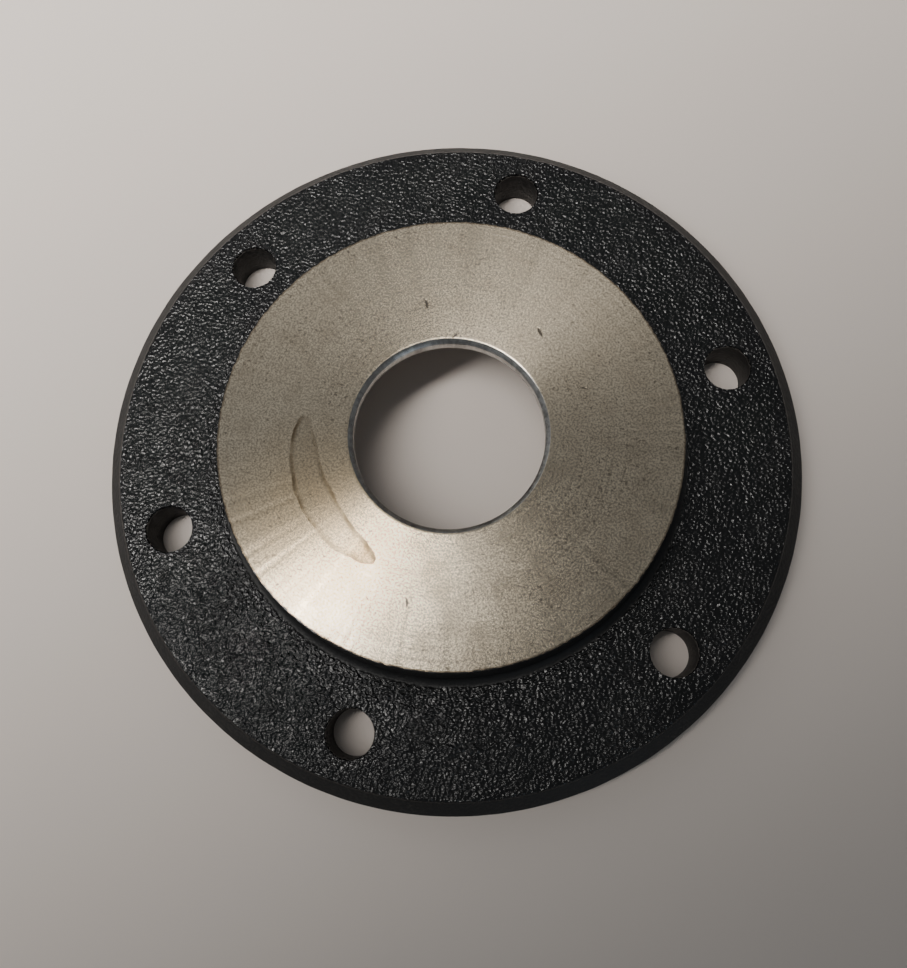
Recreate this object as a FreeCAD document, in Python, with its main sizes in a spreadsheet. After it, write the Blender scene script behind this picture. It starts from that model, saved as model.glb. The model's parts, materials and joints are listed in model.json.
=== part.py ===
import FreeCAD, Part
import math
import os

import Sketcher

# Cast iron mounting flange: a bevelled disc with six bolt holes and a raised boss.
# The boss is faced and bored through its thin front lip, and is hollow behind it.
# Origin: the centre of the flat back face. +Z runs out through the boss, +Y through one bolt hole.

NODE = "flange_casting"

# Millimetres and degrees. Angles turn from +X towards +Y.
DIMENSIONS = {
    "flangeDiameter": 168.0,
    "flangeThickness": 11.0,
    "rimBevelWidth": 3.4,
    "rimBevelDepth": 3.0,
    "backEdgeBreak": 0.6,
    "bossFaceDiameter": 106.5,
    "bossBaseDiameter": 108.6,
    "bossHeight": 12.0,
    "bossRootFillet": 2.2,
    "boreDiameter": 44.0,
    "boreChamfer": 1.0,
    "lipThickness": 3.5,
    "recessDiameter": 72.0,
    "recessChamfer": 1.0,
    "recessFillet": 0.8,
    "boltCircleDiameter": 140.0,
    "boltHoleDiameter": 11.0,
    "boltPitchAngle": 60.0,
    "evenHoleCount": 5,
    "firstHoleAngle": -30.0,
    "clockedHoleAngle": 265.0,
}

VERTICAL_AXIS = -2
ORIGIN_POINT = (-1, 1)
CUTS = ("PartDesign::Pocket", "PartDesign::Hole", "PartDesign::Chamfer", "PartDesign::PolarPattern")
LENGTH_TOLERANCE = 1e-4


def makeSheet(doc):
    """Put the driving dimensions in a spreadsheet, each with its alias."""
    sheet = doc.addObject("Spreadsheet::Sheet", "sizes")
    for row, (alias, value) in enumerate(DIMENSIONS.items(), start=1):
        sheet.set(f"A{row}", alias)
        sheet.set(f"B{row}", str(value))
        sheet.setAlias(f"B{row}", alias)
    doc.recompute()


def newSketch(body, name, plane):
    """An empty sketch on one of the body's own origin planes."""
    sketch = body.newObject("Sketcher::SketchObject", name)
    support = next(item for item in body.Origin.OriginFeatures if item.Role == plane)
    sketch.AttachmentSupport = (support, [""])
    sketch.MapMode = "FlatFace"
    return sketch


def bind(sketch, constraint, name, expression):
    """Add a named dimension to a sketch and take its value from the sheet."""
    index = sketch.addConstraint(constraint)
    sketch.renameConstraint(index, name)
    sketch.setExpression("Constraints." + name, expression)


def circleSketch(body, name, diameter):
    """A circle about the origin, on the back face's plane."""
    sketch = newSketch(body, name, "XY_Plane")
    start = float(body.evalExpression(diameter))
    axis = FreeCAD.Vector(0, 0, 1)
    circle = sketch.addGeometry(Part.Circle(FreeCAD.Vector(0, 0, 0), axis, start / 2), False)
    sketch.addConstraint(Sketcher.Constraint("Coincident", circle, 3, *ORIGIN_POINT))
    bind(sketch, Sketcher.Constraint("Diameter", circle, start), "diameter", diameter)
    return sketch


def sectionSketch(body, name, corners):
    """A closed half section on the XZ plane, from corners of (name, radius, height) expressions.

    A radius or height of None lies on the axis or on the back face's plane.
    """
    sketch = newSketch(body, name, "XZ_Plane")
    points = []
    for _, radius, height in corners:
        across = float(body.evalExpression(radius)) if radius else 0.0
        up = float(body.evalExpression(height)) if height else 0.0
        points.append(FreeCAD.Vector(across, up, 0))
    count = len(points)
    for index in range(count):
        sketch.addGeometry(Part.LineSegment(points[index], points[(index + 1) % count]), False)
    for index in range(count):
        sketch.addConstraint(Sketcher.Constraint("Coincident", index, 2, (index + 1) % count, 1))
    for index, (corner, radius, height) in enumerate(corners):
        if not radius and not height:
            sketch.addConstraint(Sketcher.Constraint("Coincident", index, 1, *ORIGIN_POINT))
            continue
        if radius:
            across = Sketcher.Constraint("DistanceX", *ORIGIN_POINT, index, 1, points[index].x)
            bind(sketch, across, corner + "Radius", radius)
        else:
            sketch.addConstraint(Sketcher.Constraint("PointOnObject", index, 1, VERTICAL_AXIS))
        if height:
            up = Sketcher.Constraint("DistanceY", *ORIGIN_POINT, index, 1, points[index].y)
            bind(sketch, up, corner + "Height", height)
        else:
            sketch.addConstraint(Sketcher.Constraint("PointOnObject", index, 1, -1))
    return sketch


def ringEdges(feature, radius, height):
    """Names of the feature's circular edges about Z at this radius and height."""
    names = []
    for number, edge in enumerate(feature.Shape.Edges, start=1):
        curve = edge.Curve
        if not isinstance(curve, Part.Circle):
            continue
        centred = math.hypot(curve.Center.x, curve.Center.y) < LENGTH_TOLERANCE
        sized = abs(curve.Radius - radius) < LENGTH_TOLERANCE
        if centred and sized and abs(curve.Center.z - height) < LENGTH_TOLERANCE:
            names.append(f"Edge{number}")
    if not names:
        raise RuntimeError(f"{feature.Name} has no ring edge of radius {radius} at height {height}")
    return names


def dress(body, kind, name, radius, height, sizes):
    """A fillet or chamfer on the tip's ring edge, found by its radius and height expressions."""
    base = body.Tip
    ring = ringEdges(base, float(body.evalExpression(radius)), float(body.evalExpression(height)))
    feature = body.newObject("PartDesign::" + kind, name)
    feature.Base = (base, ring)
    if len(sizes) == 2:
        feature.ChamferType = "Two distances"
    for prop, expression in sizes.items():
        feature.setExpression(prop, expression)
    body.Document.recompute()
    return feature


def castBlank(body):
    """The casting as it leaves the mould: disc and drafted boss turned from one half section."""
    corners = [
        ("centreBack", None, None),
        ("rimBack", "sizes.flangeDiameter / 2", None),
        ("rimFront", "sizes.flangeDiameter / 2", "sizes.flangeThickness"),
        ("bossBase", "sizes.bossBaseDiameter / 2", "sizes.flangeThickness"),
        ("bossFace", "sizes.bossFaceDiameter / 2", "sizes.flangeThickness + sizes.bossHeight"),
        ("centreFace", None, "sizes.flangeThickness + sizes.bossHeight"),
    ]
    section = sectionSketch(body, "castingSection", corners)
    blank = body.newObject("PartDesign::Revolution", "castingBlank")
    blank.Profile = section
    blank.ReferenceAxis = (section, ["V_Axis"])
    blank.Angle = 360.0
    body.Document.recompute()
    dress(body, "Fillet", "bossRoot", "sizes.bossBaseDiameter / 2", "sizes.flangeThickness",
          {"Radius": "sizes.bossRootFillet"})
    dress(body, "Chamfer", "rimBevel", "sizes.flangeDiameter / 2", "sizes.flangeThickness",
          {"Size": "sizes.rimBevelDepth", "Size2": "sizes.rimBevelWidth"})
    dress(body, "Chamfer", "backEdge", "sizes.flangeDiameter / 2", "0",
          {"Size": "sizes.backEdgeBreak"})


def pocket(body, name, diameter, depth=None):
    """A round pocket cut up from the back face: to a depth, or right through."""
    cut = body.newObject("PartDesign::Pocket", name)
    cut.Profile = circleSketch(body, name + "Outline", diameter)
    cut.Reversed = True
    if depth:
        cut.setExpression("Length", depth)
    else:
        cut.Type = "ThroughAll"
    body.Document.recompute()


def machineBore(body):
    """The deep recess from the back and the chamfered bore through the lip that it leaves."""
    recessDepth = "sizes.flangeThickness + sizes.bossHeight - sizes.lipThickness"
    pocket(body, "recess", "sizes.recessDiameter", recessDepth)
    pocket(body, "bore", "sizes.boreDiameter")
    dress(body, "Fillet", "recessCorner", "sizes.recessDiameter / 2", recessDepth,
          {"Radius": "sizes.recessFillet"})
    dress(body, "Chamfer", "recessMouth", "sizes.recessDiameter / 2", "0",
          {"Size": "sizes.recessChamfer"})
    dress(body, "Chamfer", "boreMouth", "sizes.boreDiameter / 2",
          "sizes.flangeThickness + sizes.bossHeight", {"Size": "sizes.boreChamfer"})


def drillHole(body, name, angle):
    """One through hole on the bolt circle, drilled from the flange's front."""
    sketch = newSketch(body, name + "Centre", "XY_Plane")
    sketch.setExpression("AttachmentOffset.Base.z", "sizes.flangeThickness")
    reach = float(body.evalExpression("sizes.boltCircleDiameter / 2"))
    turn = math.radians(float(body.evalExpression(angle)))
    centre = FreeCAD.Vector(reach * math.cos(turn), reach * math.sin(turn), 0)
    axis = FreeCAD.Vector(0, 0, 1)
    size = float(body.evalExpression("sizes.boltHoleDiameter"))
    circle = sketch.addGeometry(Part.Circle(centre, axis, size / 2), False)
    across = Sketcher.Constraint("DistanceX", *ORIGIN_POINT, circle, 3, centre.x)
    up = Sketcher.Constraint("DistanceY", *ORIGIN_POINT, circle, 3, centre.y)
    bind(sketch, across, "across", f"sizes.boltCircleDiameter / 2 * cos({angle} * 1 deg)")
    bind(sketch, up, "up", f"sizes.boltCircleDiameter / 2 * sin({angle} * 1 deg)")
    bind(sketch, Sketcher.Constraint("Diameter", circle, size), "diameter", "sizes.boltHoleDiameter")
    body.Document.recompute()
    hole = body.newObject("PartDesign::Hole", name)
    hole.Profile = sketch
    hole.ThreadType = "None"
    hole.DepthType = "ThroughAll"
    hole.setExpression("Diameter", "sizes.boltHoleDiameter")
    body.Document.recompute()
    return hole


def drillBoltHoles(body):
    """Five evenly pitched holes and a sixth set off its place, so the flange bolts on one way round."""
    first = drillHole(body, "evenHole", "sizes.firstHoleAngle")
    pattern = body.newObject("PartDesign::PolarPattern", "evenHoles")
    pattern.Originals = [first]
    pattern.Axis = (first.Profile[0], ["N_Axis"])
    pattern.setExpression("Occurrences", "sizes.evenHoleCount")
    pattern.setExpression("Angle", "sizes.boltPitchAngle * (sizes.evenHoleCount - 1)")
    body.Tip = pattern
    body.Document.recompute()
    drillHole(body, "clockedHole", "sizes.clockedHoleAngle")


def makeCasting(doc):
    """The whole flange as one body, cast first and then machined."""
    body = doc.addObject("PartDesign::Body", "casting")
    body.Label = NODE
    body.Placement = FreeCAD.Placement()
    castBlank(body)
    machineBore(body)
    drillBoltHoles(body)
    doc.recompute()
    return body


def checkDocument(doc, body):
    """Stop on any failed feature, any cut that takes nothing away, or an unsound solid."""
    for item in doc.Objects:
        if "Invalid" in item.State or "Error" in item.State:
            raise RuntimeError(f"{item.Name} failed: {item.State}")
    for feature in body.Group:
        if feature.TypeId in CUTS and feature.Shape.Volume >= feature.BaseFeature.Shape.Volume:
            raise RuntimeError(f"{feature.Name} cuts nothing")
    shape = body.Shape
    if shape.isNull() or not shape.isValid() or len(shape.Solids) != 1:
        raise RuntimeError(f"{body.Label} isn't one valid solid")


def main():
    doc = FreeCAD.newDocument("mounting_flange")
    makeSheet(doc)
    body = makeCasting(doc)
    checkDocument(doc, body)
    os.makedirs("parts", exist_ok=True)
    body.Shape.exportStep(os.path.join("parts", NODE + ".step"))
    box = body.Shape.BoundBox
    print(f"{NODE}: {box.XLength:.1f} x {box.YLength:.1f} x {box.ZLength:.1f} mm, "
          f"{body.Shape.Volume / 1000:.1f} cm3, {len(body.Shape.Faces)} faces")


main()
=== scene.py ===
import json
import math

import bpy
from mathutils import Matrix, Vector


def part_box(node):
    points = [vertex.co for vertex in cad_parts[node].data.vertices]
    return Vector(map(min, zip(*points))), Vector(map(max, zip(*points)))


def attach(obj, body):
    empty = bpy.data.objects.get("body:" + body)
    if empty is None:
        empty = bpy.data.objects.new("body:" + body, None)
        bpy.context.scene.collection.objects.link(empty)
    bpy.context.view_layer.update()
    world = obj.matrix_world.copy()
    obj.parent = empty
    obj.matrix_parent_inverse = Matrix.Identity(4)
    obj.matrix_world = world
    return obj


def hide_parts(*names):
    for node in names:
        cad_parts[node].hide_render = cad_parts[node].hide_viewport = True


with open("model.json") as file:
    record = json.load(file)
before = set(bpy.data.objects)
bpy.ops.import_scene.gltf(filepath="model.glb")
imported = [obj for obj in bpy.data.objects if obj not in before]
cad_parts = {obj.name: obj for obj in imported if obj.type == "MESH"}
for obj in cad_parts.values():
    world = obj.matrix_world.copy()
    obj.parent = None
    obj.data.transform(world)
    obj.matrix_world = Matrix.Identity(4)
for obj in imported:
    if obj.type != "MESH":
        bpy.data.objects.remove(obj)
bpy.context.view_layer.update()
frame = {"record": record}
print("frame loaded")

mm = 0.001
node = "flange_casting"
mounts = {mount["name"]: mount for mount in frame["record"]["mounts"]}
boltHoles = [mount for name, mount in mounts.items() if name.startswith("bolt_hole")]


def deselectAll():
    if bpy.context.object and bpy.context.object.mode != "OBJECT":
        bpy.ops.object.mode_set(mode="OBJECT")
    bpy.ops.object.select_all(action="DESELECT")


def makeActive(piece):
    deselectAll()
    piece.select_set(True)
    bpy.context.view_layer.objects.active = piece


def applyPlace(piece):
    makeActive(piece)
    bpy.ops.object.transform_apply(location=True, rotation=True, scale=True)


def smoothStep(low, high, value):
    share = min(max((value - low) / (high - low), 0.0), 1.0)
    return share * share * (3.0 - 2.0 * share)


# the casting's section, worked out from the frame and a few finish sizes
casting = {
    "faceRadius": 53.25 * mm,
    "footRadius": 54.3 * mm,
    "rootRound": 2.2 * mm,
    "bevelWide": 3.4 * mm,
    "bevelDeep": 3.0 * mm,
    "lip": 3.5 * mm,
    "boreChamfer": 1.0 * mm,
    "recessChamfer": 1.0 * mm,
    "recessRound": 0.8 * mm,
    "backBreak": 0.6 * mm,
    # how far each sharp edge of the real casting is worn or painted round
    "mouthSoft": 0.1 * mm,
    "backSoft": 0.3 * mm,
    "bevelBackSoft": 0.6 * mm,
    "bevelFrontSoft": 0.7 * mm,
    "faceEdgeSoft": 0.07 * mm,
    "boreEdgeSoft": 0.5 * mm,
    "landSoft": 0.05 * mm,
    "lipSoft": 0.15 * mm,
    # a narrow flat ring inside each edge of the machined face keeps its shading flat
    "faceGuard": 0.5 * mm,
    "boreGuard": 0.6 * mm,
    "steps": 720,
    "sharpAngle": 38.0,
}


def sectionSizes():
    low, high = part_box(node)
    return {
        "rim": high.x,
        "top": high.z,
        "flangeTop": mounts["bolt_hole_90"]["dims"]["length_mm"] * mm,
        "bore": mounts["front_bore"]["dims"]["r_mm"] * mm,
        "recess": mounts["rear_recess"]["dims"]["r_mm"] * mm,
        "boltHole": boltHoles[0]["dims"]["r_mm"] * mm,
    }


sizes = sectionSizes()


def sectionCorners():
    # each corner: radius, height, rounding, divisions of the stretch after it
    c, s = casting, sizes
    lipFloor = s["top"] - c["lip"]
    boreEdge = s["bore"] + c["boreChamfer"]
    return [
        (s["recess"] + c["recessChamfer"], 0.0, c["mouthSoft"], 3),
        (s["rim"] - c["backBreak"], 0.0, c["backSoft"], 1),
        (s["rim"], c["backBreak"], c["backSoft"], 5),
        (s["rim"], s["flangeTop"] - c["bevelDeep"], c["bevelBackSoft"], 5),
        (s["rim"] - c["bevelWide"], s["flangeTop"], c["bevelFrontSoft"], 44),
        (c["footRadius"], s["flangeTop"], c["rootRound"], 12),
        (c["faceRadius"], s["top"], c["faceEdgeSoft"], 1),
        (c["faceRadius"] - c["faceGuard"], s["top"], 0.0, 6),
        (boreEdge + c["boreGuard"], s["top"], 0.0, 1),
        (boreEdge, s["top"], c["boreEdgeSoft"], 1),
        (s["bore"], s["top"] - c["boreChamfer"], c["landSoft"], 2),
        (s["bore"], lipFloor, c["lipSoft"], 3),
        (s["recess"], lipFloor, c["recessRound"], 5),
        (s["recess"], c["recessChamfer"], c["mouthSoft"], 1),
    ]


def roundedCorner(before, corner, after, radius, count):
    toBefore = (before - corner).normalized()
    toAfter = (after - corner).normalized()
    half = toBefore.angle(toAfter) / 2
    centre = corner + (toBefore + toAfter).normalized() * radius / math.sin(half)
    first = corner + toBefore * radius / math.tan(half) - centre
    last = corner + toAfter * radius / math.tan(half) - centre
    turned = [first.slerp(last, step / count).normalized() for step in range(count + 1)]
    return [centre + direction * radius for direction in turned]


def arcSteps(rounding):
    # wider roundings get more steps
    if rounding > 2.0 * mm:
        return 6
    return 3 if rounding > 0.5 * mm else 2


def sectionPoints():
    corners = sectionCorners()
    places = [Vector((radius, 0, height)) for radius, height, _, _ in corners]
    points = []
    for index, (_, _, rounding, _) in enumerate(corners):
        if rounding == 0.0:
            points.append(places[index])  # a plain point on a straight stretch
            continue
        before = places[index - 1]
        after = places[(index + 1) % len(places)]
        arc = roundedCorner(before, places[index], after, rounding, arcSteps(rounding))
        if points:
            divisions = corners[index - 1][3]
            start = points[-1]
            points += [start.lerp(arc[0], step / divisions) for step in range(1, divisions)]
        points += arc
    return points


def turnCasting():
    # the outline is drawn point by point, then spun once round the bore's axis
    points = sectionPoints()
    points.append(points[0])
    deselectAll()
    bpy.ops.mesh.primitive_plane_add(size=mm, location=points[0])
    body = bpy.context.object
    body.name = "cast_flange"
    applyPlace(body)
    bpy.ops.object.mode_set(mode="EDIT")
    bpy.ops.mesh.select_mode(type="VERT")
    bpy.ops.mesh.select_all(action="SELECT")
    bpy.ops.mesh.merge(type="CENTER")
    for here, there in zip(points, points[1:]):
        bpy.ops.mesh.extrude_region_move(TRANSFORM_OT_translate={"value": there - here})
    # an eighth is spun, then what there is gets copied round three times
    eighth = math.tau / 8
    bpy.ops.mesh.select_all(action="SELECT")
    bpy.ops.mesh.spin(steps=casting["steps"] // 8, angle=eighth, center=(0, 0, 0), axis=(0, 0, 1))
    for turn in (eighth, 2 * eighth, 4 * eighth):
        bpy.ops.mesh.select_all(action="SELECT")
        bpy.ops.mesh.duplicate()
        bpy.ops.transform.rotate(value=turn, orient_axis="Z", center_override=(0, 0, 0))
    bpy.ops.mesh.select_all(action="SELECT")
    bpy.ops.mesh.remove_doubles(threshold=0.01 * mm)
    bpy.ops.mesh.normals_make_consistent(inside=False)
    bpy.ops.object.mode_set(mode="OBJECT")
    return body


# raised relief of the cast skin, pressed into the mesh before the holes are drilled
relief = {
    "pebbleSize": 1.3 * mm,
    "pebbleHeight": 0.24 * mm,
    "waveSize": 6.0 * mm,
    "waveHeight": 0.14 * mm,
    "bevelHeight": 0.12 * mm,
    "flankSize": 1.6 * mm,
    "flankHeight": 0.16 * mm,
    "pipRadius": 1.3 * mm,
    "pipHeight": 0.35 * mm,
    "pipCircle": 69.5 * mm,
    "pipTop": 0.35,
    "pipAngles": [276, 280, 284, 288, 292, 296],
    # how deep below the flange's front the skin reaches, and how far it fades in by the boss and the bevel
    "skinReach": 0.4 * mm,
    "footFade": 0.5 * mm,
    "bevelFadeFrom": 0.6 * mm,
    "bevelFadeTo": 0.1 * mm,
}


def skinWeight(place):
    if abs(place.z - sizes["flangeTop"]) > relief["skinReach"]:
        return 0.0
    radius = math.hypot(place.x, place.y)
    foot = casting["footRadius"] + casting["rootRound"]
    edge = sizes["rim"] - casting["bevelWide"]
    inner = smoothStep(foot - relief["footFade"], foot + relief["footFade"], radius)
    outer = smoothStep(edge - relief["bevelFadeFrom"], edge + relief["bevelFadeTo"], radius)
    return inner * (1.0 - outer)


def flankWeight(place):
    radius = math.hypot(place.x, place.y)
    top = casting["faceRadius"] - 0.12 * mm  # just inside the rounded edge of the face
    foot = casting["footRadius"] + casting["rootRound"]
    return 1.0 if top < radius < foot and place.z > sizes["flangeTop"] + 0.2 * mm else 0.0


def bevelWeight(place):
    radius = math.hypot(place.x, place.y)
    onBevel = radius > sizes["rim"] - casting["bevelWide"] - 0.5 * mm
    return 1.0 if onBevel and place.z > casting["backBreak"] else 0.0


def pipWeight(place):
    if skinWeight(place) == 0.0:
        return 0.0
    pips = [math.radians(angle) for angle in relief["pipAngles"]]
    circle = relief["pipCircle"]
    nearest = min(
        math.hypot(place.x - circle * math.cos(angle), place.y - circle * math.sin(angle))
        for angle in pips
    )
    return 1.0 - smoothStep(relief["pipTop"] * relief["pipRadius"], relief["pipRadius"], nearest)


def weigh(body, name, weightAt):
    group = body.vertex_groups.new(name=name)
    for vertex in body.data.vertices:
        weight = weightAt(vertex.co)
        if weight > 0.0:
            group.add([vertex.index], weight, "REPLACE")


def pressRelief(body, group, height, middle, size=None):
    modifier = body.modifiers.new(group, "DISPLACE")
    modifier.vertex_group = group
    modifier.strength = height
    modifier.mid_level = middle
    modifier.texture_coords = "LOCAL"
    if size:
        texture = bpy.data.textures.new(group + "Relief", "CLOUDS")
        texture.noise_scale = size
        texture.noise_depth = 1
        modifier.texture = texture
    makeActive(body)
    bpy.ops.object.modifier_apply(modifier=modifier.name)


def levelFace(body):
    # the facing cut leaves nothing above the boss face
    makeActive(body)
    bpy.ops.object.mode_set(mode="EDIT")
    bpy.ops.mesh.select_mode(type="VERT")
    bpy.ops.mesh.select_all(action="DESELECT")
    bpy.ops.object.mode_set(mode="OBJECT")
    for vertex in body.data.vertices:
        vertex.select = vertex.co.z > sizes["top"]
    bpy.ops.object.mode_set(mode="EDIT")
    bpy.ops.transform.resize(value=(1, 1, 0), center_override=(0, 0, sizes["top"]))
    bpy.ops.object.mode_set(mode="OBJECT")


def pressSkin(body):
    weigh(body, "skin", skinWeight)
    weigh(body, "skinWave", skinWeight)
    weigh(body, "flank", flankWeight)
    weigh(body, "bevel", bevelWeight)
    weigh(body, "pips", pipWeight)
    pressRelief(body, "pips", relief["pipHeight"], 0.0)
    pressRelief(body, "bevel", relief["bevelHeight"], 1.0, size=relief["waveSize"])
    pressRelief(body, "flank", relief["flankHeight"], 0.5, size=relief["flankSize"])
    pressRelief(body, "skinWave", relief["waveHeight"], 0.5, size=relief["waveSize"])
    pressRelief(body, "skin", relief["pebbleHeight"], 0.5, size=relief["pebbleSize"])
    levelFace(body)
    body.vertex_groups.clear()


# the drills for the bolt holes, each flared a little where it breaks through the skin
drill = {
    "sides": 96,
    "below": 2.0 * mm,
    "flareStart": 0.45 * mm,
    "flareRings": [(0.25 * mm, 0.06 * mm), (0.2 * mm, 0.14 * mm), (0.2 * mm, 0.2 * mm)],
    "above": 2.0 * mm,
}


def makeDrill(place):
    start = sizes["flangeTop"] - drill["flareStart"]
    depth = start + drill["below"]
    middle = (place.x, place.y, start - depth / 2)
    bpy.ops.mesh.primitive_cylinder_add(
        vertices=drill["sides"], radius=sizes["boltHole"], depth=depth, location=middle
    )
    tool = bpy.context.object
    applyPlace(tool)
    bpy.ops.object.mode_set(mode="EDIT")
    bpy.ops.mesh.select_mode(type="FACE")
    bpy.ops.mesh.select_all(action="DESELECT")
    bpy.ops.object.mode_set(mode="OBJECT")
    for face in tool.data.polygons:
        face.select = face.normal.z > 0.9
    bpy.ops.object.mode_set(mode="EDIT")
    radius = sizes["boltHole"]
    for rise, widen in drill["flareRings"]:
        bpy.ops.mesh.extrude_region_move(TRANSFORM_OT_translate={"value": (0, 0, rise)})
        grow = (radius + widen) / radius
        bpy.ops.transform.resize(value=(grow, grow, 1), center_override=place)
        radius += widen
    bpy.ops.mesh.extrude_region_move(TRANSFORM_OT_translate={"value": (0, 0, drill["above"])})
    bpy.ops.object.mode_set(mode="OBJECT")
    return tool


def drillHoles(body):
    tools = [makeDrill(Vector(mount["pos_m"])) for mount in boltHoles]
    deselectAll()
    for tool in tools:
        tool.select_set(True)
    bpy.context.view_layer.objects.active = tools[0]
    bpy.ops.object.join()
    modifier = body.modifiers.new("drilling", "BOOLEAN")
    modifier.operation = "DIFFERENCE"
    modifier.solver = "MANIFOLD"
    modifier.object = tools[0]
    makeActive(body)
    bpy.ops.object.modifier_apply(modifier=modifier.name)
    bpy.data.objects.remove(tools[0])


# surface finishes, all worked out in millimetres from the piece's own coordinates


def startMaterial(name):
    material = bpy.data.materials.new(name)
    material.use_nodes = True
    tree = material.node_tree
    return material, tree, tree.nodes["Principled BSDF"]


def addNode(tree, kind, values=None, **settings):
    made = tree.nodes.new(kind)
    for setting, value in settings.items():
        setattr(made, setting, value)
    for socket, value in (values or {}).items():
        if isinstance(value, bpy.types.NodeSocket):
            tree.links.new(value, made.inputs[socket])
        else:
            made.inputs[socket].default_value = value
    return made


def feed(tree, socket, target):
    tree.links.new(socket, target)


def calc(tree, operation, first, second=0.0, third=0.0, clamp=False):
    values = {0: first, 1: second, 2: third}
    return addNode(tree, "ShaderNodeMath", values, operation=operation, use_clamp=clamp).outputs[0]


def fade(tree, value, low, high, fromZero=0.0, toOne=1.0):
    values = {"Value": value, "From Min": low, "From Max": high, "To Min": fromZero, "To Max": toOne}
    return addNode(tree, "ShaderNodeMapRange", values, interpolation_type="SMOOTHSTEP").outputs[0]


def blendColour(tree, share, first, second):
    made = addNode(tree, "ShaderNodeMix", data_type="RGBA")
    for socket, value in ((0, share), (6, first), (7, second)):
        if isinstance(value, bpy.types.NodeSocket):
            tree.links.new(value, made.inputs[socket])
        else:
            made.inputs[socket].default_value = value if socket == 0 else (*value, 1.0)
    return made.outputs[2]


def noise(tree, where, size, detail=2.0, rough=0.5, twist=0.0):
    values = {"Vector": where, "Scale": 1.0 / size, "Detail": detail}
    values.update({"Roughness": rough, "Distortion": twist})
    return addNode(tree, "ShaderNodeTexNoise", values).outputs[0]


def bump(tree, height, depth, under=None):
    values = {"Height": height, "Distance": depth, "Strength": 1.0}
    if under:
        values["Normal"] = under
    return addNode(tree, "ShaderNodeBump", values).outputs[0]


def vectorStep(tree, operation, first, second=None):
    values = {0: first} if second is None else {0: first, 1: second}
    return addNode(tree, "ShaderNodeVectorMath", values, operation=operation)


def coordinates(tree):
    place = addNode(tree, "ShaderNodeTexCoord").outputs["Object"]
    inMm = vectorStep(tree, "MULTIPLY", place, (1000, 1000, 1000)).outputs[0]
    flat = vectorStep(tree, "MULTIPLY", inMm, (1, 1, 0)).outputs[0]
    parts = addNode(tree, "ShaderNodeSeparateXYZ", {0: inMm}).outputs
    return {
        "where": inMm,
        "flat": flat,
        "z": parts[2],
        "radius": vectorStep(tree, "LENGTH", flat).outputs["Value"],
        "outward": vectorStep(tree, "NORMALIZE", flat).outputs[0],
        "angle": calc(tree, "ARCTAN2", parts[1], parts[0]),
    }


blackPaint = {
    "colour": (0.0065, 0.0065, 0.0068),
    "dusty": (0.022, 0.021, 0.020),
    "roughness": 0.20,
    "smoothRoughness": 0.58,
    "pebbleSize": 0.74,
    "pebbleDepth": 0.53 * mm,
    "smoothShare": 0.22,
    "patchSize": 12.0,
    "specular": 0.50,
}


def makeBlackPaint():
    paint = blackPaint
    material, tree, shader = startMaterial("blackPaintOnCastIron")
    here = coordinates(tree)
    foot = (casting["footRadius"] + casting["rootRound"]) / mm
    edge = (sizes["rim"] - casting["bevelWide"]) / mm
    top = sizes["flangeTop"] / mm
    # pebbled on the flange's front only, smoother on the boss flank, the rim and in the holes
    inner = fade(tree, here["radius"], foot - 0.9, foot + 0.3)
    outer = fade(tree, here["radius"], edge - 0.3, edge + 0.5, 1.0, 0.0)
    above = fade(tree, here["z"], top - 1.0, top - 0.5)
    pebbled = calc(tree, "MULTIPLY", calc(tree, "MULTIPLY", inner, outer), above)
    soft = noise(tree, here["where"], paint["pebbleSize"], detail=0.6, twist=0.25)
    patches = noise(tree, here["where"], paint["patchSize"], detail=3.0)
    height = calc(tree, "MULTIPLY", soft, fade(tree, pebbled, 0.0, 1.0, paint["smoothShare"], 1.0))
    height = calc(tree, "MULTIPLY", height, fade(tree, patches, 0.3, 0.7, 0.8, 1.2))
    feed(tree, bump(tree, height, paint["pebbleDepth"]), shader.inputs["Normal"])
    dust = calc(tree, "MULTIPLY", fade(tree, patches, 0.45, 0.75), fade(tree, soft, 0.55, 0.35))
    feed(tree, blendColour(tree, dust, paint["colour"], paint["dusty"]), shader.inputs["Base Color"])
    gloss = fade(tree, pebbled, 0.0, 1.0, paint["smoothRoughness"], paint["roughness"])
    roughness = calc(tree, "MULTIPLY_ADD", patches, 0.12, calc(tree, "SUBTRACT", gloss, 0.06))
    feed(tree, roughness, shader.inputs["Roughness"])
    shader.inputs["Specular IOR Level"].default_value = paint["specular"]
    return material


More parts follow.
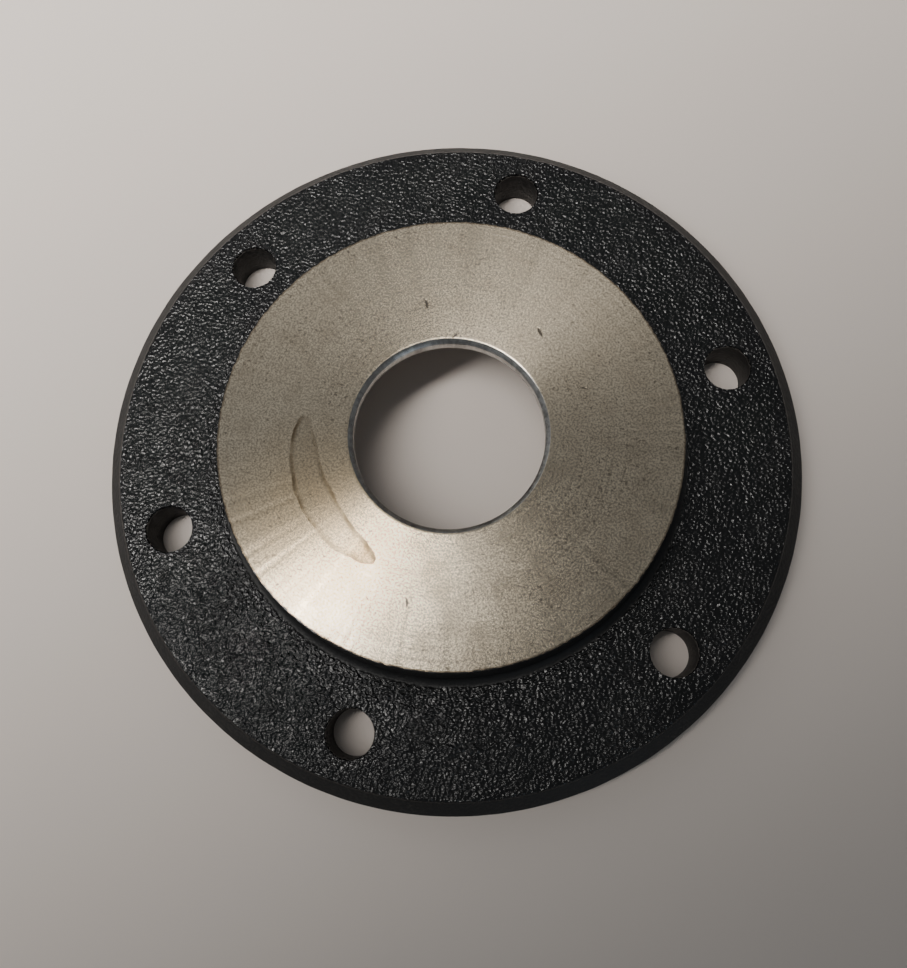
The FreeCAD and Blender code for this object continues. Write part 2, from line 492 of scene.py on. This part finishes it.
machinedFace = {
    "colour": (0.88, 0.765, 0.585),
    "shade": (0.55, 0.470, 0.355),
    "mottleSize": 8.0,
    "cloudSize": 24.0,
    "grit": (0.20, 0.165, 0.125),
    "gritSize": 0.46,
    "gritShare": 0.52,
    "pit": (0.15, 0.12, 0.09),
    "pitSize": 0.85,
    "roughness": 0.25,
    "anisotropy": 0.80,
    "pitch": 0.7,
    "broadPitch": 2.4,
    "cutDepth": 0.0012 * mm,
    "rust": (0.15, 0.095, 0.05),
    "edgeWander": 0.9,
    # tan and the three after it: a warm tint painted where the bright highlight falls, its middle, and the
    # radii it fades out between
    "tan": (0.92, 0.66, 0.34),
    "tanPlace": (-20.0, -30.0, 0.0),
    "tanFrom": 6.0,
    "tanTo": 34.0,
    # the water mark: its colours, the angles it runs between, its middle radius and half its width
    "stain": (0.13, 0.095, 0.055),
    "stainTip": (0.24, 0.13, 0.045),
    "stainFrom": 186.0,
    "stainTo": 255.0,
    "stainRadius": 33.3,
    "stainHalfWidth": 3.9,
    # each nick: angle round the face, radius, length, and the angle of its long side
    "nickColour": (0.05, 0.042, 0.036),
    "nickDepth": 0.04 * mm,
    "nickSlimness": 4.0,
    "nicks": [
        (100.3, 23.7, 2.1, 60.0),
        (113.1, 32.2, 2.6, 118.0),
        (62.7, 32.2, 2.7, 128.0),
        (32.5, 32.4, 1.6, 10.0),
        (270.6, 39.2, 2.0, 105.0),
    ],
}


def ringMarks(tree, here, pitch, detail=2.0):
    # the same value all the way round at each radius, wavering slightly
    waver = noise(tree, here["flat"], 22.0, detail=1.0)
    along = calc(tree, "MULTIPLY_ADD", waver, 0.10, calc(tree, "DIVIDE", here["radius"], pitch))
    values = {"W": along, "Scale": 1.0, "Detail": detail}
    return addNode(tree, "ShaderNodeTexNoise", values, noise_dimensions="1D").outputs[0]


def waterMark(tree, here):
    # a dried drop bent round the bore: a crisp edge that fades inwards, browner at its lower tip
    face = machinedFace
    middle = math.radians((face["stainFrom"] + face["stainTo"]) / 2 - 360.0)
    half = math.radians((face["stainTo"] - face["stainFrom"]) / 2)
    along = calc(tree, "DIVIDE", calc(tree, "SUBTRACT", here["angle"], middle), half)
    room = calc(tree, "SUBTRACT", 1.0, calc(tree, "MULTIPLY", along, along), clamp=True)
    width = calc(tree, "MULTIPLY", calc(tree, "SQRT", room), face["stainHalfWidth"])
    wobble = noise(tree, here["flat"], 5.0, detail=3.0)
    centre = calc(tree, "MULTIPLY_ADD", wobble, 1.6, face["stainRadius"] - 0.8)
    outward = calc(tree, "SUBTRACT", here["radius"], centre)
    inside = calc(tree, "SUBTRACT", width, calc(tree, "ABSOLUTE", outward))
    crisp = fade(tree, inside, -0.25, 0.12)
    ring = calc(tree, "MULTIPLY", crisp, fade(tree, inside, 0.15, 1.5, 1.0, 0.0))
    # its outer edge is the plainer one at the upper end, its inner edge at the lower end
    outerShare = fade(tree, along, -0.1, 1.0, 1.0, 0.45)
    innerShare = fade(tree, along, -0.9, 0.3, 0.45, 1.0)
    sideDifference = calc(tree, "SUBTRACT", outerShare, innerShare)
    side = calc(tree, "MULTIPLY_ADD", fade(tree, outward, -0.6, 0.6), sideDifference, innerShare)
    patchy = fade(tree, noise(tree, here["flat"], 3.0, detail=3.0), 0.3, 0.65, 0.5, 1.0)
    onArc = fade(tree, room, 0.0, 0.02)
    ring = calc(tree, "MULTIPLY", calc(tree, "MULTIPLY", ring, side), calc(tree, "MULTIPLY", patchy, onArc))
    tip = calc(tree, "MULTIPLY", fade(tree, along, 0.45, 0.95), calc(tree, "MULTIPLY", crisp, onArc))
    filled = calc(tree, "MULTIPLY", fade(tree, inside, 0.0, 1.0), onArc)
    return ring, calc(tree, "MULTIPLY", tip, patchy), filled


def nickMask(tree, here):
    total = None
    for angle, radius, length, lie in machinedFace["nicks"]:
        turn = math.radians(angle)
        spot = (radius * math.cos(turn), radius * math.sin(turn), 0.0)
        offset = vectorStep(tree, "SUBTRACT", here["flat"], spot).outputs[0]
        values = {"Vector": offset, "Rotation": (0, 0, -math.radians(lie))}
        laid = addNode(tree, "ShaderNodeMapping", values)
        slim = vectorStep(tree, "MULTIPLY", laid.outputs[0], (1.0, machinedFace["nickSlimness"], 1.0))
        away = vectorStep(tree, "LENGTH", slim.outputs[0]).outputs["Value"]
        mark = fade(tree, away, 0.32 * length, 0.55 * length, 1.0, 0.0)
        total = mark if total is None else calc(tree, "MAXIMUM", total, mark)
    return total


def faceColour(tree, here, fine, mottle, ring, tip, filled, nicks):
    # light iron, darker in cloudy patches, with grit, pits, turning lines, the water mark and nicks over it
    face = machinedFace
    broad = ringMarks(tree, here, face["broadPitch"], detail=3.0)
    cloud = noise(tree, here["flat"], face["cloudSize"], detail=2.0)
    grit = noise(tree, here["flat"], face["gritSize"], detail=1.0)
    specks = noise(tree, here["flat"], face["pitSize"], detail=2.0)
    pitLimit = fade(tree, cloud, 0.35, 0.65, 0.66, 0.60)
    pits = fade(tree, calc(tree, "SUBTRACT", specks, pitLimit), 0.0, 0.05)
    shadeShare = calc(tree, "MULTIPLY", fade(tree, mottle, 0.35, 0.72), 0.65)
    shadeShare = calc(tree, "MULTIPLY_ADD", broad, 0.20, shadeShare)
    colour = blendColour(tree, shadeShare, face["colour"], face["shade"])
    # a faint warm tan tint painted round the water mark, where the bright highlight falls: a painted warm
    # highlight
    offset = vectorStep(tree, "SUBTRACT", here["flat"], face["tanPlace"]).outputs[0]
    away = vectorStep(tree, "LENGTH", offset).outputs["Value"]
    paintedHighlightWarmth = fade(tree, away, face["tanFrom"], face["tanTo"], 0.5, 0.0)
    colour = blendColour(tree, paintedHighlightWarmth, colour, face["tan"])
    gritty = fade(tree, grit, 0.36, 0.66, 0.0, face["gritShare"])
    colour = blendColour(tree, gritty, colour, face["grit"])
    # single turning lines show here and there
    lineHere = fade(tree, cloud, 0.42, 0.60, 0.0, 0.24)
    lineShow = calc(tree, "MULTIPLY", fade(tree, fine, 0.52, 0.66), lineHere)
    colour = blendColour(tree, lineShow, colour, face["grit"])
    colour = blendColour(tree, calc(tree, "MULTIPLY", pits, 0.65), colour, face["pit"])
    colour = blendColour(tree, calc(tree, "MULTIPLY", filled, 0.14), colour, face["stain"])
    colour = blendColour(tree, calc(tree, "MULTIPLY", tip, 0.75), colour, face["stainTip"])
    colour = blendColour(tree, calc(tree, "MULTIPLY", ring, 0.95), colour, face["stain"])
    return blendColour(tree, calc(tree, "MULTIPLY", nicks, 0.85), colour, face["nickColour"])


def makeMachinedFace():
    face = machinedFace
    material, tree, shader = startMaterial("facedIron")
    here = coordinates(tree)
    fine = ringMarks(tree, here, face["pitch"])
    mottle = noise(tree, here["flat"], face["mottleSize"], detail=5.0, rough=0.62)
    nicks = nickMask(tree, here)
    ring, tip, filled = waterMark(tree, here)
    colour = faceColour(tree, here, fine, mottle, ring, tip, filled, nicks)
    # a thin brown rust line and the paint creep in over the outer edge
    rim = casting["faceRadius"] / mm
    jag = noise(tree, here["flat"], 1.6, detail=3.0, rough=0.65)
    wander = calc(tree, "SUBTRACT", jag, 0.5)
    reach = calc(tree, "MULTIPLY_ADD", wander, face["edgeWander"], here["radius"])
    rusty = fade(tree, reach, rim - 0.62, rim - 0.38)
    painted = fade(tree, reach, rim - 0.30, rim - 0.16)
    colour = blendColour(tree, calc(tree, "MULTIPLY", rusty, 0.6), colour, face["rust"])
    colour = blendColour(tree, painted, colour, blackPaint["colour"])
    feed(tree, colour, shader.inputs["Base Color"])
    feed(tree, fade(tree, painted, 0.0, 1.0, 1.0, 0.0), shader.inputs["Metallic"])
    roughness = calc(tree, "MULTIPLY_ADD", fine, 0.06, face["roughness"] - 0.03)
    roughness = calc(tree, "MULTIPLY_ADD", mottle, 0.10, calc(tree, "SUBTRACT", roughness, 0.05))
    roughness = calc(tree, "MULTIPLY_ADD", ring, 0.05, roughness)
    feed(tree, roughness, shader.inputs["Roughness"])
    shader.inputs["Anisotropic"].default_value = face["anisotropy"]
    feed(tree, here["outward"], shader.inputs["Tangent"])
    normal = bump(tree, calc(tree, "SUBTRACT", 1.0, nicks), face["nickDepth"])
    feed(tree, bump(tree, fine, face["cutDepth"], normal), shader.inputs["Normal"])
    return material


turnedBore = {
    "colour": (0.56, 0.55, 0.53),
    "shade": (0.20, 0.19, 0.18),
    "roughness": 0.26,
    "pitch": 0.12,
    "cutDepth": 0.003 * mm,
    "chatterSize": 1.3,
    "chatterStretch": 0.12,
    "patchSize": 6.0,
}


def makeTurnedBore():
    bore = turnedBore
    material, tree, shader = startMaterial("turnedBore")
    here = coordinates(tree)
    along = calc(tree, "DIVIDE", calc(tree, "ADD", here["z"], here["radius"]), bore["pitch"])
    values = {"W": along, "Scale": 1.0, "Detail": 2.0}
    rings = addNode(tree, "ShaderNodeTexNoise", values, noise_dimensions="1D").outputs[0]
    # chatter marks run a little way down the wall, uneven round the bore
    scale = (1.0, 1.0, bore["chatterStretch"])
    stretched = addNode(tree, "ShaderNodeMapping", {"Vector": here["where"], "Scale": scale}).outputs[0]
    chatter = noise(tree, stretched, bore["chatterSize"], detail=3.0)
    patches = noise(tree, here["where"], bore["patchSize"], detail=3.0)
    patchShare = fade(tree, patches, 0.4, 0.8, 0.0, 0.5)
    share = calc(tree, "MULTIPLY_ADD", fade(tree, chatter, 0.35, 0.65), 0.5, patchShare)
    feed(tree, blendColour(tree, share, bore["colour"], bore["shade"]), shader.inputs["Base Color"])
    shader.inputs["Metallic"].default_value = 1.0
    roughness = calc(tree, "MULTIPLY_ADD", rings, 0.12, bore["roughness"] - 0.04)
    feed(tree, roughness, shader.inputs["Roughness"])
    feed(tree, bump(tree, rings, bore["cutDepth"]), shader.inputs["Normal"])
    return material


machinedBack = {
    "colour": (0.52, 0.50, 0.475),
    "shade": (0.36, 0.335, 0.31),
    "roughness": 0.34,
    "anisotropy": 0.7,
    "pitch": 0.30,
    "broadPitch": 3.1,
    "cutDepth": 0.005 * mm,
    "mottleSize": 11.0,
    "pit": (0.10, 0.085, 0.07),
    "pitSize": 0.7,
}


def makeMachinedBack():
    back = machinedBack
    material, tree, shader = startMaterial("machinedBack")
    here = coordinates(tree)
    fine = ringMarks(tree, here, back["pitch"])
    broad = ringMarks(tree, here, back["broadPitch"])
    mottle = noise(tree, here["where"], back["mottleSize"], detail=4.0, rough=0.6)
    pits = fade(tree, noise(tree, here["where"], back["pitSize"], detail=2.0), 0.68, 0.78)
    broadShare = calc(tree, "MULTIPLY", broad, 0.4)
    share = calc(tree, "MULTIPLY_ADD", fade(tree, mottle, 0.35, 0.75), 0.6, broadShare)
    colour = blendColour(tree, share, back["colour"], back["shade"])
    colour = blendColour(tree, calc(tree, "MULTIPLY", pits, 0.5), colour, back["pit"])
    feed(tree, colour, shader.inputs["Base Color"])
    shader.inputs["Metallic"].default_value = 1.0
    shader.inputs["Anisotropic"].default_value = back["anisotropy"]
    feed(tree, here["outward"], shader.inputs["Tangent"])
    roughness = calc(tree, "MULTIPLY_ADD", fine, 0.12, back["roughness"] - 0.04)
    feed(tree, roughness, shader.inputs["Roughness"])
    feed(tree, bump(tree, fine, back["cutDepth"]), shader.inputs["Normal"])
    return material


def surfaceOf(middle, normal):
    # which finish a face of the casting has, by its place and the way it points
    radius = math.hypot(middle.x, middle.y)
    lipFloor = sizes["top"] - casting["lip"]
    boreEdge = sizes["bore"] + casting["boreChamfer"]
    recessEdge = sizes["recess"] + casting["recessChamfer"]
    if radius < boreEdge + 0.01 * mm and middle.z > lipFloor - 0.05 * mm:
        return "bore"
    if middle.z > sizes["top"] - 0.3 * mm and normal.z > 0.9:
        return "face"
    inRecess = radius < recessEdge + 0.1 * mm and middle.z < lipFloor + 0.05 * mm
    onBack = middle.z < 0.05 * mm and normal.z < -0.7
    return "back" if inRecess or onBack else "paint"


finishes = {
    "paint": makeBlackPaint,
    "face": makeMachinedFace,
    "bore": makeTurnedBore,
    "back": makeMachinedBack,
}


def dressCasting(body):
    body.data.materials.clear()
    for maker in finishes.values():
        body.data.materials.append(maker())
    order = list(finishes)
    for face in body.data.polygons:
        face.material_index = order.index(surfaceOf(face.center, face.normal))
    makeActive(body)
    bpy.ops.object.shade_smooth_by_angle(angle=math.radians(casting["sharpAngle"]))


castFlange = turnCasting()
print("casting turned:", len(castFlange.data.polygons), "faces")
pressSkin(castFlange)
print("skin pressed")
drillHoles(castFlange)
print("holes drilled:", len(castFlange.data.polygons), "faces")
dressCasting(castFlange)
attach(castFlange, "root")
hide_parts(node)
print("finishes on")

studio = {
    "floorSize": 8.0,
    "floorDrop": 0.1 * mm,  # a hair under the part, so that the two don't share a plane
    "floorTone": 60.0,
    "floorColour": (0.85, 0.765, 0.70),
    "worldColour": (0.93, 0.97, 1.0),
    "worldStrength": 0.15,
    "worldLean": (-1.0, 0.2, 0.0),
    "worldLeast": 0.90,
    "stripPlace": (-0.195, -0.048, 0.80),
    "stripFacing": (-0.056, 0.595, -1.0),
    "stripTurn": 54.5,
    "stripLong": 1.10,
    "stripWide": 0.12,
    "stripSpread": 81.9,
    "stripPower": 5.0,
    "softPlace": (-0.80, 0.55, 0.80),
    "softSize": 0.5,
    "softPower": 0.4,
    # a pale blue window, low down on the right and towards the viewer
    "windowPlace": (0.46, -0.50, 0.18),
    "windowLong": 0.30,
    "windowHigh": 0.22,
    "windowAlong": (0.74, 0.67, 0.0),
    "windowPower": 0.15,
    "windowColour": (0.70, 0.85, 1.0),
    "lightColour": (1.0, 0.97, 0.93),
    "cameraPlace": (0.02162, -0.05237, 0.20733),
    "cameraTilt": (13.449, 2.282, 13.869),
    "cameraLens": 31.57,
    "sensor": 36.0,
}


def layFloor():
    deselectAll()
    bpy.ops.mesh.primitive_plane_add(size=studio["floorSize"], location=(0, 0, -studio["floorDrop"]))
    floor = bpy.context.object
    floor.name = "studio_floor"
    applyPlace(floor)
    material, tree, shader = startMaterial("paleFloor")
    here = coordinates(tree)
    tone = noise(tree, here["flat"], studio["floorTone"], detail=3.0)
    light = studio["floorColour"]
    dark = tuple(0.96 * value for value in light)
    feed(tree, blendColour(tree, tone, light, dark), shader.inputs["Base Color"])
    shader.inputs["Roughness"].default_value = 0.9
    shader.inputs["Specular IOR Level"].default_value = 0.2
    floor.data.materials.append(material)


def hangLight(name, long, wide):
    deselectAll()
    bpy.ops.object.light_add(type="AREA", location=studio[name + "Place"])
    lamp = bpy.context.object
    lamp.name = name + "_light"
    lamp.data.shape = "RECTANGLE"
    lamp.data.size = long
    lamp.data.size_y = wide
    lamp.data.energy = studio[name + "Power"]
    lamp.data.color = studio["lightColour"]
    return lamp


def aimLight(lamp, facing, along):
    # it shines along facing, with its long side turned towards along
    back = -facing.normalized()
    side = (along - back * along.dot(back)).normalized()
    lamp.rotation_euler = Matrix((side, back.cross(side), back)).transposed().to_euler()


def makeWorld():
    # dim room light that falls off evenly from one side to the other
    world = bpy.data.worlds.new("studio")
    world.use_nodes = True
    tree = world.node_tree
    background = tree.nodes["Background"]
    background.inputs["Color"].default_value = (*studio["worldColour"], 1.0)
    towards = addNode(tree, "ShaderNodeTexCoord").outputs["Generated"]
    lean = vectorStep(tree, "DOT_PRODUCT", towards, studio["worldLean"]).outputs["Value"]
    share = calc(tree, "MAXIMUM", calc(tree, "ADD", lean, 1.0), studio["worldLeast"])
    feed(tree, calc(tree, "MULTIPLY", share, studio["worldStrength"]), background.inputs["Strength"])
    bpy.context.scene.world = world


def lightStudio():
    strip = hangLight("strip", studio["stripLong"], studio["stripWide"])
    turn = math.radians(studio["stripTurn"])
    aimLight(strip, Vector(studio["stripFacing"]), Vector((math.cos(turn), math.sin(turn), 0)))
    strip.data.spread = math.radians(studio["stripSpread"])
    soft = hangLight("soft", studio["softSize"], studio["softSize"])
    aimLight(soft, -Vector(studio["softPlace"]), Vector((0, 0, 1)))
    window = hangLight("window", studio["windowLong"], studio["windowHigh"])
    window.data.color = studio["windowColour"]
    aimLight(window, -Vector(studio["windowPlace"]), Vector(studio["windowAlong"]))
    makeWorld()


def placeCamera():
    tilt = [math.radians(angle) for angle in studio["cameraTilt"]]
    bpy.ops.object.camera_add(location=studio["cameraPlace"], rotation=tilt)
    camera = bpy.context.object
    camera.data.lens = studio["cameraLens"]
    camera.data.sensor_width = studio["sensor"]
    camera.data.sensor_fit = "AUTO"
    camera.data.dof.use_dof = False
    camera.data.clip_start = 0.01
    camera.data.clip_end = 10.0
    bpy.context.scene.camera = camera


layFloor()
lightStudio()
placeCamera()
print("studio ready")
